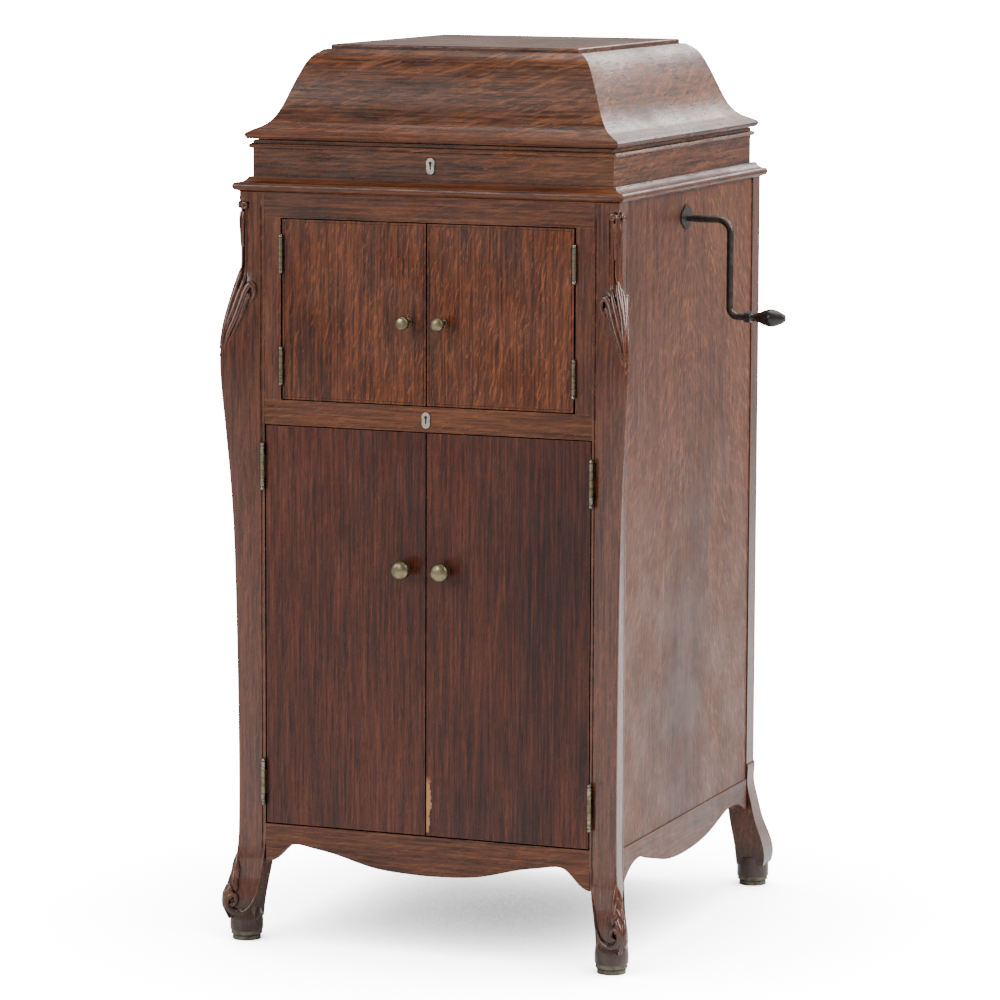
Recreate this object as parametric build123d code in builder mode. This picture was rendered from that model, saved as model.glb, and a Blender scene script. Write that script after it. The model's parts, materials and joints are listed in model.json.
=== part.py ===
from build123d import *
import os
from math import cos, radians, sin

# Floor-standing wind-up phonograph: an oak cabinet with an internal horn and a domed lid.
# Frame: millimetres, +Z up, origin on the floor under the middle of the cabinet,
# front towards -Y, winding crank on the +X side.

os.makedirs("parts", exist_ok=True)

# ---- driving dimensions -------------------------------------------------------------------
overall_height = 1194.0

# lower case
front_face = -294.0          # front of doors and rails
rear_face = 283.0            # back of the rear posts
panel_face = 262.5           # outside of the side panels
rail_thickness = 18.0        # doors' surround and aprons
door_thickness = 16.5
case_top = 1002.5            # top of posts and panels, under the cornice
case_bottom = 158.0          # underside of the panels, top of the bottom rails

# posts: inner corner and size of the square stock
front_post_x, front_post_y = 230.5, -260.0
front_post_edge = 34.5       # from the inner corner to the two outer edges
front_post_corner = 35.5     # from the inner corner to the crisp outer corner
rear_post_x, rear_post_y = 230.5, 248.0
rear_post_width, rear_post_depth = 33.5, 35.0
glide_height = 12.5
ankle_radius = 22.3
front_foot = (260.7, -290.5)
rear_foot = (260.7, 290.5)

# upper case (rim) and lid, centred a little in front of the lower case's middle
rim_y = -5.3
rim_half_width = 252.3
rim_half_depth = 274.9
rim_wall = 14.0
rim_top = 1070.0
lid_bottom = 1071.2
lid_frame_top = 1083.2
dome_top = 1187.6
lid_hinge_y = rim_y + rim_half_depth + 4.2
lid_hinge_z = 1070.6
lid_hinge_x = 150.0

# boards
board_half_width = 244.5
board_thickness = 12.0
horn_floor_z = 700.0
record_shelf_z = 425.0
motor_board_z = 1020.0
motor_board_top = motor_board_z + board_thickness

# door openings
upper_opening_x = 206.9
upper_door_edge = 204.1
upper_door_z = (731.0, 968.0)
lower_door_edge = 228.6
lower_door_z = (161.5, 695.0)
door_gap = 1.0               # from the middle line to each door
mid_rail_z = (696.5, 729.5)
top_rail_z = 969.5
apron_top = 159.5

# hinges of the doors
upper_hinge_axis = (205.5, -297.5)
lower_hinge_axis = (231.6, -300.0)
upper_hinge_heights = (775.0, 922.8)
lower_hinge_heights = (217.0, 640.8)
upper_hinge_length = 42.0
lower_hinge_length = 54.0
barrel_radius = 2.9
pin_radius = 1.6
running_gap = 0.05           # radial clearance of every shaft in its bore

# turntable, tone arm and motor
spindle_x, spindle_y = 0.0, -60.0
spindle_radius = 3.6
platter_radius = 150.0
arm_x, arm_y, arm_z = 75.0, 190.0, 1100.0
arm_angle = -62.0            # direction of the parked tone arm in plan
arm_length = 206.0
crank_y, crank_z = -28.0, 965.0
crank_radius = 128.0         # from the shaft to the grip's axis
arbor_radius = 5.0
winding_pinion_radius = 20.0
winding_gear_radius = 40.0
gear_gap = 0.3
barrel_y = crank_y + winding_pinion_radius + winding_gear_radius + gear_gap
governor_y, governor_z = -100.0, 962.0


# ---- helpers --------------------------------------------------------------------------------
def save(piece, name):
    """Label a finished piece and write it to its own file."""
    piece.part.label = name
    export_step(piece.part, f"parts/{name}.step")


def mirrored(piece):
    """The left-hand twin of a right-hand piece."""
    with BuildPart() as twin:
        add(mirror(piece.part, about=Plane.YZ, mode=Mode.PRIVATE))
    return twin


def board(x_range, y_range, z_range):
    """A plain rectangular board between the given limits."""
    with BuildPart() as piece:
        box_between(x_range, y_range, z_range)
    return piece


def box_between(x_range, y_range, z_range, mode=Mode.ADD):
    """Add or cut a box between the given limits in the current part."""
    centre = (sum(x_range) / 2, sum(y_range) / 2, sum(z_range) / 2)
    with Locations(centre):
        Box(x_range[1] - x_range[0], y_range[1] - y_range[0], z_range[1] - z_range[0], mode=mode)


def shaft_along_x(radius, x_range, y, z, mode=Mode.ADD):
    """Add or cut a round bar along X."""
    with Locations((sum(x_range) / 2, y, z)):
        Cylinder(radius, x_range[1] - x_range[0], rotation=(0, 90, 0), mode=mode)


def shaft_along_z(radius, z_range, x, y, mode=Mode.ADD):
    """Add or cut a round bar along Z."""
    with Locations((x, y, sum(z_range) / 2)):
        Cylinder(radius, z_range[1] - z_range[0], mode=mode)


def rectangle_section(z, inset):
    """A level rectangle at the given height, inset from the rim's outline."""
    with BuildSketch(Plane.XY.offset(z), mode=Mode.PRIVATE) as section:
        with Locations((0, rim_y)):
            Rectangle(2 * (rim_half_width - inset), 2 * (rim_half_depth - inset))
    return section.sketch


def rectangle_loft(steps, ruled=False, mode=Mode.ADD):
    """Add or cut a body through level rectangles, given as (height, inset) steps."""
    loft([rectangle_section(height, inset) for height, inset in steps], ruled=ruled, mode=mode)


def rectangle_block(z_range, inset, mode=Mode.ADD):
    """Add or cut a straight block with the rim's outline, inset by the given amount."""
    extrude(rectangle_section(z_range[0], inset), amount=z_range[1] - z_range[0], mode=mode)


def notched_board(half_width, front_y, back_y, z_range):
    """A board that fills the case and is cut back round the four posts."""
    with BuildPart() as piece:
        box_between((-half_width, half_width), (front_post_y, rear_post_y), z_range)
        box_between((-rear_post_x, rear_post_x), (front_y, back_y), z_range)
    return piece


# ---- posts and feet -------------------------------------------------------------------------
def front_post():
    """Carved corner post: square above, a diagonal knee below the top, and a scrolled foot."""
    # height, outward bulge of the corner, swell of the outer edges, inset of the inner faces
    sections = (
        (case_top, 0.0, 0.0, 0.0), (900.0, 0.0, 0.0, 0.0), (857.0, 8.5, 0.0, 0.0),
        (820.0, 16.2, 0.0, 0.0), (790.0, 19.8, 0.0, 0.0), (755.0, 19.3, 0.0, 0.0),
        (700.0, 15.5, 0.0, 0.0), (600.0, 9.0, 0.0, 0.0), (500.0, 5.8, 0.0, 0.0),
        (300.0, 3.1, 0.0, 0.0), (150.0, 3.2, 0.0, 0.0), (114.0, 5.9, 2.0, 2.0),
        (80.0, 14.0, 7.0, 7.0), (60.0, 19.3, 10.0, 9.8), (45.0, 20.0, 12.0, 11.5),
        (30.0, 15.6, 12.5, 12.6),
    )
    edge_x, edge_y = front_post_x + front_post_edge, front_post_y - front_post_edge
    corner_x, corner_y = front_post_x + front_post_corner, front_post_y - front_post_corner
    with BuildPart() as post:
        for height, bulge, swell, inset in sections:
            inner_x, inner_y = front_post_x + inset, front_post_y - inset
            with BuildSketch(Plane.XY.offset(height)):
                with BuildLine():
                    Polyline(
                        (inner_x, inner_y),
                        (edge_x + swell, inner_y),
                        (corner_x + bulge, corner_y - bulge),
                        (inner_x, edge_y - swell),
                        close=True,
                    )
                make_face()
        loft(ruled=True)
        shaft_along_z(ankle_radius, (glide_height, 44.0), *front_foot)
    return post


def rear_post():
    """Plain rear post whose foot flares out diagonally above a round ankle."""
    flare_top = 180.0
    corner_round = 5.0
    # height, outward flare of the outer corner, inset of the inner corner
    flare = (
        (flare_top, 0.0, 0.0), (159.0, 1.0, 1.0), (133.0, 4.3, 3.0), (108.0, 9.4, 6.2),
        (85.0, 15.7, 9.5), (68.0, 21.4, 12.5), (54.0, 24.6, 14.5), (43.0, 25.3, 15.7),
        (30.0, 22.0, 17.0),
    )
    with BuildPart() as post:
        box_between(
            (rear_post_x, rear_post_x + rear_post_width),
            (rear_post_y, rear_post_y + rear_post_depth),
            (flare_top, case_top),
        )
        fillet(post.edges().filter_by(Axis.Z).sort_by(lambda edge: edge.center().X + edge.center().Y)[-1],
               radius=corner_round)
        for height, outward, inset in flare:
            near_x, near_y = rear_post_x + 0.7 * inset, rear_post_y + 1.4 * inset
            far_x = rear_post_x + rear_post_width + 0.8 * outward
            far_y = rear_post_y + rear_post_depth + 1.25 * outward
            with BuildSketch(Plane.XY.offset(height)):
                with BuildLine():
                    Polyline((far_x - corner_round, far_y), (near_x, far_y), (near_x, near_y),
                             (far_x, near_y), (far_x, far_y - corner_round))
                    RadiusArc((far_x, far_y - corner_round), (far_x - corner_round, far_y), -corner_round)
                make_face()
        loft()
        shaft_along_z(ankle_radius, (glide_height, 40.0), *rear_foot)
    return post


def foot_glides():
    """Grooved round glides under the four feet."""
    top_radius, groove_radius, bottom_radius = 21.0, 17.5, 19.0
    with BuildPart() as glides:
        for x, y in (front_foot, rear_foot):
            shaft_along_z(bottom_radius, (0.0, 5.5), x, y)
            shaft_along_z(groove_radius, (5.5, 7.5), x, y)
            shaft_along_z(top_radius, (7.5, glide_height), x, y)
        mirror(about=Plane.YZ)
    return glides


# ---- case -----------------------------------------------------------------------------------
def side_panel():
    """Right-hand side panel with the hole for the crank's bush."""
    hole_radius = 9.2
    with BuildPart() as panel:
        box_between((board_half_width, panel_face), (front_post_y, rear_post_y), (case_bottom, case_top))
        shaft_along_x(hole_radius, (board_half_width, panel_face), crank_y, crank_z, mode=Mode.SUBTRACT)
    return panel


def plain_side_panel():
    """Left-hand side panel."""
    return board((-panel_face, -board_half_width), (front_post_y, rear_post_y), (case_bottom, case_top))


def side_rails():
    """Two bottom rails with a double-curved lower edge."""
    middle = (front_post_y + rear_post_y) / 2
    half = (rear_post_y - front_post_y) / 2
    # distance from the middle as a share of the half length, height of the lower edge
    edge = (
        (-1.0, 106.0), (-0.91, 124.0), (-0.8, 133.5), (-0.45, 117.0), (0.0, 105.5),
        (0.45, 117.0), (0.8, 131.0), (0.91, 124.0), (1.0, 110.0),
    )
    points = [(middle + share * half, height) for share, height in edge]
    with BuildPart() as rail:
        with BuildSketch(Plane.YZ.offset(board_half_width)):
            with BuildLine():
                Spline(*points)
                Line(points[-1], (rear_post_y, case_bottom))
                Line((rear_post_y, case_bottom), (front_post_y, case_bottom))
                Line((front_post_y, case_bottom), points[0])
            make_face()
        extrude(amount=panel_face + 1.5 - board_half_width)
        mirror(about=Plane.YZ)
    return rail


def front_apron():
    """Front bottom rail with a double-curved lower edge."""
    # distance from the middle, height of the lower edge
    half_edge = ((22.0, 107.0), (78.5, 112.0), (137.0, 126.5), (166.0, 131.3),
                 (193.0, 132.8), (222.0, 108.6), (front_post_x, 105.4))
    points = [(-x, z) for x, z in reversed(half_edge)] + [(0.0, 106.5)] + list(half_edge)
    with BuildPart() as apron:
        with BuildSketch(Plane.XZ.offset(-(front_face + rail_thickness))):
            with BuildLine():
                Spline(*points)
                Line(points[-1], (front_post_x, apron_top))
                Line((front_post_x, apron_top), (-front_post_x, apron_top))
                Line((-front_post_x, apron_top), points[0])
            make_face()
        extrude(amount=rail_thickness)
    return apron


def stiles(depth):
    """Two narrow uprights beside the upper doors."""
    with BuildPart() as uprights:
        box_between((upper_opening_x, front_post_x), depth, (mid_rail_z[1], top_rail_z))
        mirror(about=Plane.YZ)
    return uprights


def record_rack():
    """Shelf and upright dividers that keep the records apart."""
    thickness = 6.0
    divider_x = (-115.0, 0.0, 115.0)
    shelf_top = record_shelf_z + board_thickness
    spaces = ((case_bottom, record_shelf_z), (shelf_top, horn_floor_z))
    with BuildPart() as rack:
        box_between((-board_half_width, board_half_width), (front_post_y, rear_post_y),
                    (record_shelf_z, shelf_top))
        for x in divider_x:
            for z_range in spaces:
                box_between((x - thickness / 2, x + thickness / 2), (front_post_y + 4.0, 268.0), z_range)
    return rack


def cornice():
    """Three-sided moulding between the lower case and the rim."""
    start = (rim_half_width, rear_face)
    corner = (rim_half_width, rim_y - rim_half_depth)
    with BuildPart() as moulding:
        with BuildLine() as path:
            Polyline(
                (*start, case_top), (*corner, case_top),
                (-corner[0], corner[1], case_top), (-start[0], start[1], case_top),
            )
        profile_plane = Plane(origin=(*start, case_top), x_dir=(1, 0, 0), z_dir=(0, -1, 0))
        with BuildSketch(profile_plane):
            with BuildLine():
                Polyline((0.0, 19.4), (0.0, 0.0), (13.0, 0.0), (16.3, 1.7))
                ThreePointArc((16.3, 1.7), (21.0, 8.8), (18.3, 12.0))
                ThreePointArc((18.3, 12.0), (9.4, 13.9), (4.3, 19.4))
                Line((4.3, 19.4), (0.0, 19.4))
            make_face()
        sweep(path=path.wires()[0], transition=Transition.RIGHT)
    return moulding


def case_rim():
    """Mitred rim of the upper case with a planted bead round its top."""
    bead = ((1058.5, 0.8), (1060.0, -3.8), (1062.3, -5.0), (1064.6, -3.8), (1066.0, -1.3))
    with BuildPart() as rim:
        rectangle_block((case_top, rim_top), 0.0)
        rectangle_loft(bead, ruled=True)
        rectangle_block((case_top, rim_top), rim_wall, mode=Mode.SUBTRACT)
        for side in (-1, 1):
            hinge_x = side * lid_hinge_x
            box_between((hinge_x - 27, hinge_x + 27),
                        (rim_y + rim_half_depth, rim_y + rim_half_depth + 10), (1055.0, rim_top),
                        mode=Mode.SUBTRACT)
    return rim


def board_cleats():
    """Frame inside the rim that the motor board lies on."""
    with BuildPart() as cleats:
        rectangle_block((case_top, motor_board_z), rim_wall)
        rectangle_block((case_top, motor_board_z), rim_wall + 14.0, mode=Mode.SUBTRACT)
    return cleats


def motor_board():
    """Board under the turntable, with its holes and the slot for the lid's stay."""
    edge_gap = 0.4
    through = (motor_board_z, motor_board_top)
    with BuildPart() as deck:
        rectangle_block(through, rim_wall + edge_gap)
        shaft_along_z(6.0, through, spindle_x, spindle_y, mode=Mode.SUBTRACT)
        shaft_along_z(20.0, through, arm_x, arm_y, mode=Mode.SUBTRACT)
        box_between((218.5, 225.5), (163.0, 187.0), through, mode=Mode.SUBTRACT)
    return deck


# ---- horn -----------------------------------------------------------------------------------
def horn():
    """Flared wooden sound chamber from the throat behind the motor to the mouth at the front."""
    wall = 6.0
    mouth_y, throat_y = -262.0, 150.0
    mouth = (0.0, 851.0, 408.0, 238.0)       # centre x, centre z, width, height, outside
    throat = (arm_x, 821.0, 72.0, 72.0)
    with BuildPart() as flare:
        for shrink, mode in ((0.0, Mode.ADD), (2 * wall, Mode.SUBTRACT)):
            for y, (x, z, width, height) in ((mouth_y, mouth), (throat_y, throat)):
                with BuildSketch(Plane.XZ.offset(-y)):
                    with Locations((x, z)):
                        Rectangle(width - shrink, height - shrink)
            loft(mode=mode)
    return flare


def horn_elbow():
    """Cast-iron pipe that leads the sound down from the tone arm to the horn's throat."""
    outer, inner = 25.0, 20.0
    flange_thickness = 6.0
    start_y, turn_radius, throat_z = 150.0, 30.0, 821.0
    rise = arm_y - turn_radius
    with BuildPart() as elbow:
        with BuildLine(Plane.YZ.offset(arm_x)) as path:
            Line((start_y, throat_z), (rise, throat_z))
            RadiusArc((rise, throat_z), (arm_y, throat_z + turn_radius), -turn_radius)
            Line((arm_y, throat_z + turn_radius), (arm_y, motor_board_z))
        with BuildSketch(Plane.XZ.offset(-start_y)):
            with Locations((arm_x, throat_z)):
                Circle(outer)
        sweep(path=path.wires()[0])
        box_between((arm_x - 36, arm_x + 36), (start_y, start_y + flange_thickness),
                    (throat_z - 36, throat_z + 36))
        shaft_along_z(36.0, (motor_board_z - flange_thickness, motor_board_z), arm_x, arm_y)
        with BuildSketch(Plane.XZ.offset(-start_y)):
            with Locations((arm_x, throat_z)):
                Circle(inner)
        sweep(path=path.wires()[0], mode=Mode.SUBTRACT)
    return elbow


def louvres():
    """Three tilted slats across the horn's mouth."""
    slat_depth, slat_thickness, tilt = 12.0, 4.0, 25.0
    with BuildPart() as slats:
        for z in (792.0, 850.0, 908.0):
            with Locations(Location((0.0, -269.0, z), (tilt, 0, 0))):
                Box(440.0, slat_depth, slat_thickness)
    return slats


# ---- doors and their fittings -----------------------------------------------------------------
def door(outer_edge, z_range, beaded):
    """Right-hand flush door; a beaded one has a fine groove cut round its face."""
    groove_inset, groove_width, groove_depth = 2.6, 0.9, 0.9
    width = outer_edge - door_gap
    height = z_range[1] - z_range[0]
    centre = ((outer_edge + door_gap) / 2, sum(z_range) / 2)
    inner = 2 * (groove_inset + groove_width)
    with BuildPart() as leaf:
        box_between((door_gap, outer_edge), (front_face, front_face + door_thickness), z_range)
        if beaded:
            with BuildSketch(Plane.XZ.offset(-front_face)):
                with Locations(centre):
                    Rectangle(width - 2 * groove_inset, height - 2 * groove_inset)
                    Rectangle(width - inner, height - inner, mode=Mode.SUBTRACT)
            extrude(amount=-groove_depth, mode=Mode.SUBTRACT)
    return leaf


def add_leaf(axis, x_range, z_range):
    """Hinge leaf in the gap beside a door, and the neck that joins it to its knuckle."""
    x, y = axis
    reach, depth = 3.0, 12.0
    box_between(x_range, (y + 0.9, front_face + depth), z_range)
    box_between((min(x_range[0], x), max(x_range[1], x)), (y + 0.9, y + reach), z_range)


def add_knob(x, z, radius, stand_off):
    """Turned brass knob: rose, stem and a slightly flattened ball."""
    ball_y = front_face - stand_off
    tip_y = ball_y - 0.78 * radius
    neck = (ball_y + 0.73 * radius, z + 0.36 * radius)
    with BuildSketch(Plane.YZ.offset(x), mode=Mode.PRIVATE) as outline:
        with BuildLine():
            Polyline((front_face, z), (front_face, z + 0.55 * radius),
                     (front_face - 2.0, z + 0.55 * radius), (front_face - 2.0, z + 0.36 * radius), neck)
            Spline(neck, (ball_y, z + radius), (tip_y, z), tangents=[(-0.35, 1.0), (0.0, -1.0)])
            Line((tip_y, z), (front_face, z))
        make_face()
    revolve(outline.sketch, axis=Axis((x, ball_y, z), (0, -1, 0)))


def door_brasses(axis, edge, leaf_thickness, heights, length, knob):
    """A right-hand door's own hinge leaves, with their middle knuckles, and its knob."""
    knuckle = 0.3 * length - 0.2
    with BuildPart() as brasses:
        for z in heights:
            z_range = (z - knuckle, z + knuckle)
            shaft_along_z(barrel_radius, z_range, *axis)
            add_leaf(axis, (edge, edge + leaf_thickness), z_range)
            shaft_along_z(pin_radius + running_gap, z_range, *axis, mode=Mode.SUBTRACT)
        add_knob(*knob)
    return brasses


def door_hinges():
    """Leaves, outer knuckles and ball-tipped pins that stay on the cabinet."""
    sets = (
        (upper_hinge_axis, upper_opening_x - 0.05, 1.2, upper_hinge_heights, upper_hinge_length),
        (lower_hinge_axis, front_post_x - 0.05, 0.55, lower_hinge_heights, lower_hinge_length),
    )
    tip_radius, tip_rise = 3.0, 2.2
    with BuildPart() as hinges:
        for axis, leaf_face, leaf_thickness, heights, length in sets:
            for z in heights:
                for sign in (-1, 1):
                    ends = sorted((z + sign * 0.3 * length, z + sign * 0.5 * length))
                    shaft_along_z(barrel_radius, ends, *axis)
                    with Locations((*axis, z + sign * (0.5 * length + tip_rise))):
                        Sphere(tip_radius)
                    add_leaf(axis, (leaf_face - leaf_thickness, leaf_face), ends)
                shaft_along_z(pin_radius, (z - 0.5 * length, z + 0.5 * length), *axis)
        mirror(about=Plane.YZ)
    return hinges


def keyhole_escutcheons():
    """Small keyhole plates on the rim and on the middle rail."""
    plate_radius, plate_drop, thickness = 6.0, 5.0, 1.6
    places = ((rim_y - rim_half_depth, 1041.8), (front_face, 712.0))
    with BuildPart() as plates:
        for y, z in places:
            with BuildSketch(Plane.XZ.offset(-y)):
                with Locations((0, z)):
                    SlotCenterToCenter(2 * plate_drop, 2 * plate_radius - 1.0, rotation=90)
                with Locations((0, z + plate_drop - 1.0)):
                    Circle(plate_radius)
                    Circle(2.2, mode=Mode.SUBTRACT)
                with Locations((0, z)):
                    Rectangle(2.0, 9.0, mode=Mode.SUBTRACT)
            extrude(amount=thickness)
    return plates


# ---- lid --------------------------------------------------------------------------------------
def lid_frame():
    """Mitred moulded frame round the lid's lower edge, cut back at the two hinges."""
    # height above the frame's underside, inset of the outline
    profile = ((0.0, 0.2), (0.4, -5.8), (3.4, -8.2), (6.3, -9.0), (9.2, -6.8), (12.0, -1.0))
    with BuildPart() as frame:
        rectangle_loft([(lid_bottom + rise, inset) for rise, inset in profile], ruled=True)
        rectangle_block((lid_bottom, lid_frame_top), rim_wall, mode=Mode.SUBTRACT)
        for side in (-1, 1):
            hinge_x = side * lid_hinge_x
            box_between((hinge_x - 27, hinge_x + 27),
                        (rim_y + rim_half_depth, rim_y + rim_half_depth + 12),
                        (lid_bottom, lid_frame_top), mode=Mode.SUBTRACT)
    return frame


def lid_dome():
    """Hollow lid whose four sides rise in an ogee to a flat top."""
    outside = (
        (lid_frame_top, -1.0), (1088.5, 10.0), (1095.8, 18.5), (1105.7, 25.2), (1120.5, 32.0),
        (1137.9, 38.7), (1156.7, 46.5), (1170.3, 53.0), (1181.4, 61.7), (dome_top, 71.2),
    )
    inside = ((lid_frame_top, rim_wall), (1092.0, 26.0), (1106.0, 35.0), (1121.0, 42.5),
              (1157.0, 58.0), (1176.0, 72.0))
    with BuildPart() as dome:
        rectangle_loft(outside)
        rectangle_loft(inside, mode=Mode.SUBTRACT)
    return dome


def lid_top():
    """Flat raised panel on the lid, with softened upper edges."""
    with BuildPart() as panel:
        rectangle_block((dome_top, overall_height), 78.0)
        fillet(panel.faces().sort_by(Axis.Z)[-1].edges(), radius=2.5)
    return panel


def lid_hinges(fixed):
    """Two lid hinges: either the leaves with outer knuckles and pins, or the lid's own leaves."""
    half_length, knuckle = 24.0, 10.0
    radius, leaf_thickness = 2.9, 1.5
    back = rim_y + rim_half_depth
    with BuildPart() as hinges:
        for side in (-1, 1):
            x = side * lid_hinge_x
            if fixed:
                for sign in (-1, 1):
                    ends = sorted((x + sign * (knuckle + 0.2), x + sign * half_length))
                    shaft_along_x(radius, ends, lid_hinge_y, lid_hinge_z)
                    box_between(ends, (back, back + leaf_thickness), (1040.0, lid_hinge_z))
                    box_between(ends, (back, lid_hinge_y), (lid_hinge_z - 3.0, lid_hinge_z - 1.4))
                box_between((x - half_length, x + half_length), (back, back + leaf_thickness),
                            (1040.0, 1064.0))
                shaft_along_x(1.4, (x - half_length, x + half_length), lid_hinge_y, lid_hinge_z)
            else:
                ends = (x - knuckle, x + knuckle)
                shaft_along_x(radius, ends, lid_hinge_y, lid_hinge_z)
                box_between(ends, (back, lid_hinge_y), (lid_hinge_z + 1.4, lid_hinge_z + 2.9))
                box_between((x - half_length, x + half_length), (back, back + leaf_thickness),
                            (lid_bottom + 1.0, lid_frame_top - 0.8))
                shaft_along_x(1.4 + running_gap, ends, lid_hinge_y, lid_hinge_z, mode=Mode.SUBTRACT)
    return hinges


def lid_stay():
    """Quadrant bar on the lid that runs through a guide on the rim and holds the lid open."""
    radius, half_bar = 110.0, 4.0
    start_angle, end_angle = 176.0, 264.5
    x_range = (221.0, 223.0)
    hinge = (lid_hinge_y, lid_hinge_z)

    def on_arc(distance, angle):
        return (hinge[0] + distance * cos(radians(angle)), hinge[1] + distance * sin(radians(angle)))

    middle_angle = (start_angle + end_angle) / 2
    with BuildPart() as stay:
        with BuildSketch(Plane.YZ.offset(x_range[0])):
            with BuildLine():
                outer, inner = radius + half_bar, radius - half_bar
                ThreePointArc(on_arc(outer, start_angle), on_arc(outer, middle_angle),
                              on_arc(outer, end_angle))
                Line(on_arc(outer, end_angle), on_arc(inner, end_angle))
                ThreePointArc(on_arc(inner, end_angle), on_arc(inner, middle_angle),
                              on_arc(inner, start_angle))
                Line(on_arc(inner, start_angle), on_arc(outer, start_angle))
            make_face()
        extrude(amount=x_range[1] - x_range[0])
        box_between((x_range[0], rim_half_width - rim_wall), (160.0, 173.0), (1076.0, 1079.0))
    return stay


# ---- turntable and tone arm ---------------------------------------------------------------------
def turntable_platter():
    """Cast platter with a turned-down rim and a hub."""
    top = motor_board_top + 14.0
    with BuildPart() as platter:
        shaft_along_z(platter_radius, (top - 10.0, top), spindle_x, spindle_y)
        shaft_along_z(platter_radius - 6.0, (top - 10.0, top - 6.0), spindle_x, spindle_y, mode=Mode.SUBTRACT)
        shaft_along_z(14.0, (top - 12.0, top - 6.0), spindle_x, spindle_y)
        shaft_along_z(spindle_radius, (top - 12.0, top), spindle_x, spindle_y, mode=Mode.SUBTRACT)
        fillet(platter.edges().filter_by(GeomType.CIRCLE).group_by(Axis.Z)[-1].sort_by(SortBy.LENGTH)[-1],
               radius=1.5)
    return platter


def turntable_felt():
    """Felt disc on the platter."""
    bottom = motor_board_top + 14.0
    with BuildPart() as felt:
        shaft_along_z(platter_radius - 2.0, (bottom, bottom + 2.5), spindle_x, spindle_y)
        shaft_along_z(spindle_radius, (bottom, bottom + 2.5), spindle_x, spindle_y, mode=Mode.SUBTRACT)
    return felt


def spindle():
    """Turntable spindle with the gear that the motor drives."""
    with BuildPart() as shaft:
        shaft_along_z(spindle_radius, (955.0, 1060.0), spindle_x, spindle_y)
        shaft_along_z(20.0, (980.0, 988.0), spindle_x, spindle_y)
        chamfer(shaft.edges().filter_by(GeomType.CIRCLE).sort_by(Axis.Z)[-1], length=1.2)
    return shaft


def tone_arm_bracket():
    """Base flange and upright neck that the tone arm turns on."""
    with BuildPart() as bracket:
        with BuildSketch(Plane.XZ.offset(-arm_y)):
            with BuildLine():
                Polyline((arm_x + 13.0, motor_board_top), (arm_x + 38.0, motor_board_top),
                         (arm_x + 38.0, motor_board_top + 4.0), (arm_x + 33.0, motor_board_top + 7.0),
                         (arm_x + 22.0, motor_board_top + 10.0), (arm_x + 19.0, motor_board_top + 26.0),
                         (arm_x + 15.0, motor_board_top + 26.0), (arm_x + 15.0, motor_board_top + 46.0),
                         (arm_x + 13.0, motor_board_top + 46.0), close=True)
            make_face()
        revolve(axis=Axis((arm_x, arm_y, 0), (0, 0, 1)))
    return bracket


arm_plane = Plane(
    origin=(arm_x, arm_y, arm_z),
    x_dir=(cos(radians(arm_angle)), sin(radians(arm_angle)), 0),
    z_dir=(0, 0, 1),
)
arm_side = Plane(origin=arm_plane.origin, x_dir=arm_plane.x_dir, z_dir=-arm_plane.y_dir)
arm_cross = Plane(origin=arm_plane.origin, x_dir=arm_plane.y_dir, z_dir=arm_plane.x_dir)


def tone_arm():
    """Hollow tapering arm with the socket that turns on the bracket's neck."""
    socket_bottom = motor_board_top + 26.5
    bend = 16.0
    base_radius, tip_radius = 15.0, 9.5
    with BuildPart() as arm:
        shaft_along_z(19.0, (socket_bottom, arm_z - bend), arm_x, arm_y)
        with BuildLine(arm_side) as elbow_path:
            RadiusArc((0, -bend), (bend, 0), bend)
        with BuildSketch(Plane.XY.offset(arm_z - bend)):
            with Locations((arm_x, arm_y)):
                Circle(base_radius)
        sweep(path=elbow_path.wires()[0])
        for distance, radius in ((bend, base_radius), (arm_length, tip_radius)):
            with BuildSketch(arm_cross.offset(distance)):
                Circle(radius)
        loft()
        for distance, radius in ((bend + 2.0, base_radius - 2.0), (arm_length - 12.0, tip_radius - 2.0)):
            with BuildSketch(arm_cross.offset(distance)):
                Circle(radius)
        loft(mode=Mode.SUBTRACT)
        with BuildSketch(arm_cross.offset(arm_length - 13.0)):
            Circle(6.5 + running_gap)
        extrude(amount=13.0, mode=Mode.SUBTRACT)
        shaft_along_z(15.0 + running_gap, (socket_bottom, motor_board_top + 47.0), arm_x, arm_y,
                      mode=Mode.SUBTRACT)
    return arm


elbow_turn = 20.0
elbow_run = 28.0


def gooseneck():
    """Elbow between the tone arm and the sound box, which turns so the box can be lifted."""
    sleeve = 9.0
    first = arm_length + 0.4
    with BuildPart() as neck:
        with BuildSketch(arm_cross.offset(arm_length - 11.0)):
            Circle(6.5)
        extrude(amount=12.0)
        with BuildLine(arm_plane) as path:
            Line((first, 0), (first + elbow_run, 0))
            RadiusArc((first + elbow_run, 0), (first + elbow_run + elbow_turn, -elbow_turn), elbow_turn)
        with BuildSketch(arm_cross.offset(first)):
            Circle(sleeve)
        sweep(path=path.wires()[0])
    return neck


box_x = arm_length + 0.4 + elbow_run + elbow_turn
box_plane = Plane(
    origin=arm_plane.from_local_coords(Vector(box_x, -elbow_turn, 0)),
    x_dir=arm_plane.x_dir,
    z_dir=-arm_plane.y_dir,
)


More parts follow.
